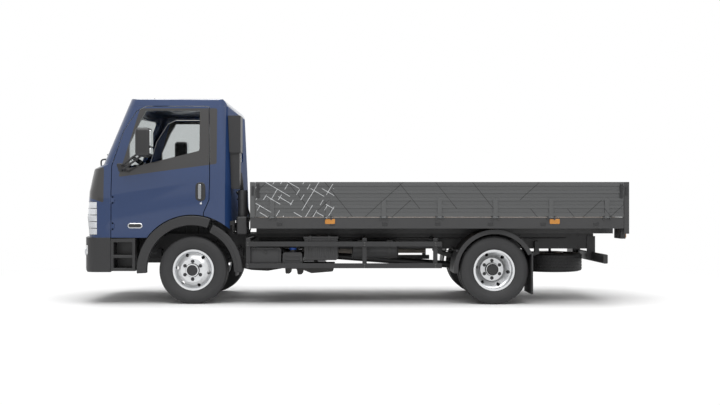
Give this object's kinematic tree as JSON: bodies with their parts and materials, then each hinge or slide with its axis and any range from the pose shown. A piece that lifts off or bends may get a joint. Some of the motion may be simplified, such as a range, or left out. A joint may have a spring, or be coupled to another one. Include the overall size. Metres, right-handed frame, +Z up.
{
  "type": "light cab-over dropside truck",
  "caption": "Light cab-over truck with a tilting day cab and a flat platform with hinged dropsides, on front single and rear twin wheels.",
  "frame": {"origin": "on the ground, at the middle of the overall length and width", "axes": "+X forward, +Y to the truck's left, +Z up"},
  "size_m": [6.38, 2.6, 2.4019],
  "materials": {
    "tyre_rubber": "matt",
    "wheel_paint": "satin",
    "frame_paint": "satin",
    "cast_parts": "rough",
    "cab_paint": "gloss",
    "cab_trim": "grained",
    "glass": "clear",
    "lamp_lens": "clear",
    "lamp_red": "gloss",
    "bed_paint": "satin",
    "bed_boards": "sealed",
    "bare_metal": "brushed",
    "interior_plastic": "grained",
    "seat_fabric": "woven",
    "guard_plastic": "matt"
  },
  "bodies": {
    "chassis": {"ladder_frame": "frame_paint", "tow_lugs": "frame_paint", "engine": "cast_parts", "radiator": "bare_metal", "prop_shaft": "frame_paint", "front_axle": "cast_parts", "rear_axle": "cast_parts", "leaf_springs": "frame_paint", "fuel_tank": "bare_metal", "side_boxes": "guard_plastic", "exhaust": "bare_metal", "air_tanks": "frame_paint", "air_cleaner": "guard_plastic", "mudguards": "guard_plastic", "side_guards": "bare_metal", "underrun_bar": "frame_paint", "spare_tyre": "tyre_rubber", "spare_rim": "wheel_paint", "bed_frame": "bed_paint", "bed_floor": "bed_boards", "headboard": "bed_paint", "rear_lamps": "lamp_red"},
    "cab": {"cab_front": "cab_paint", "cab_rear_wall": "cab_paint", "cab_side_left": "cab_paint", "cab_side_right": "cab_paint", "cab_roof": "cab_paint", "cab_floor": "interior_plastic", "cab_glass": "glass", "headlamps": "lamp_lens", "grille": "cab_trim", "bumper": "cab_paint", "cab_steps": "cab_trim", "cab_flares": "cab_trim", "dashboard": "interior_plastic", "seat_cushions": "seat_fabric", "seat_backs": "seat_fabric", "snorkel": "cab_trim"},
    "door_left_body": {"door_left": "cab_paint", "door_glass_left": "glass", "mirror_left": "cab_trim"},
    "door_right_body": {"door_right": "cab_paint", "door_glass_right": "glass", "mirror_right": "cab_trim"},
    "steering": {"steering_wheel": "interior_plastic"},
    "knuckle_left_body": {"knuckle_left": "cast_parts"},
    "knuckle_right_body": {"knuckle_right": "cast_parts"},
    "tie_rod_body": {"tie_rod": "frame_paint"},
    "front_left": {"wheel_front_left": "wheel_paint", "tyre_front_left": "tyre_rubber"},
    "front_right": {"wheel_front_right": "wheel_paint", "tyre_front_right": "tyre_rubber"},
    "rear_left": {"wheels_rear_left": "wheel_paint", "tyres_rear_left": "tyre_rubber"},
    "rear_right": {"wheels_rear_right": "wheel_paint", "tyres_rear_right": "tyre_rubber"},
    "side_left": {"dropside_left": "bed_paint"},
    "side_right": {"dropside_right": "bed_paint"},
    "tail": {"tailgate": "bed_paint"}
  },
  "joints": [
    {"name": "cab_tilt", "type": "hinge", "parent": "chassis", "child": "cab", "pos_m": [2.76, 0, 0.7], "axis": [0, 1, 0], "range_deg": [0, 45]},
    {"name": "door_left_hinge", "type": "hinge", "parent": "cab", "child": "door_left_body", "pos_m": [2.733, 1.019, 1.2], "axis": [0, 0, -1], "range_deg": [0, 70]},
    {"name": "door_right_hinge", "type": "hinge", "parent": "cab", "child": "door_right_body", "pos_m": [2.733, -1.019, 1.2], "axis": [0, 0, 1], "range_deg": [0, 70]},
    {"name": "steering_wheel_turn", "type": "hinge", "parent": "cab", "child": "steering", "pos_m": [2.44, 0.47, 1.6], "axis": [-0.5736, 0, 0.8192], "range_deg": [-650, 650]},
    {"name": "steer_left", "type": "hinge", "parent": "chassis", "child": "knuckle_left_body", "pos_m": [1.812, 0.7, 0.391], "axis": [0, 0, 1], "range_deg": [-36, 36]},
    {"name": "steer_right", "type": "hinge", "parent": "chassis", "child": "knuckle_right_body", "pos_m": [1.812, -0.7, 0.391], "axis": [0, 0, 1], "range_deg": [-36, 36]},
    {"name": "tie_rod_pivot", "type": "hinge", "parent": "knuckle_left_body", "child": "tie_rod_body", "pos_m": [1.642, 0.7, 0.3], "axis": [0, 0, 1], "range_deg": [-36, 36]},
    {"name": "front_left_spin", "type": "hinge", "parent": "knuckle_left_body", "child": "front_left", "pos_m": [1.812, 0.828, 0.391], "axis": [0, 1, 0], "continuous": true},
    {"name": "front_right_spin", "type": "hinge", "parent": "knuckle_right_body", "child": "front_right", "pos_m": [1.812, -0.828, 0.391], "axis": [0, 1, 0], "continuous": true},
    {"name": "rear_left_spin", "type": "hinge", "parent": "chassis", "child": "rear_left", "pos_m": [-1.658, 0.758, 0.391], "axis": [0, 1, 0], "continuous": true},
    {"name": "rear_right_spin", "type": "hinge", "parent": "chassis", "child": "rear_right", "pos_m": [-1.658, -0.758, 0.391], "axis": [0, 1, 0], "continuous": true},
    {"name": "dropside_left_hinge", "type": "hinge", "parent": "chassis", "child": "side_left", "pos_m": [-1, 1.104, 1], "axis": [-1, 0, 0], "range_deg": [0, 178]},
    {"name": "dropside_right_hinge", "type": "hinge", "parent": "chassis", "child": "side_right", "pos_m": [-1, -1.104, 1], "axis": [1, 0, 0], "range_deg": [0, 178]},
    {"name": "tailgate_hinge", "type": "hinge", "parent": "chassis", "child": "tail", "pos_m": [-3.18, 0, 1], "axis": [0, -1, 0], "range_deg": [0, 178]}
  ],
  "couplings": [
    {"joint": "steer_right", "follows": "steer_left", "ratio": 1},
    {"joint": "tie_rod_pivot", "follows": "steer_left", "ratio": -1},
    {"joint": "steering_wheel_turn", "follows": "steer_left", "ratio": 18}
  ]
}
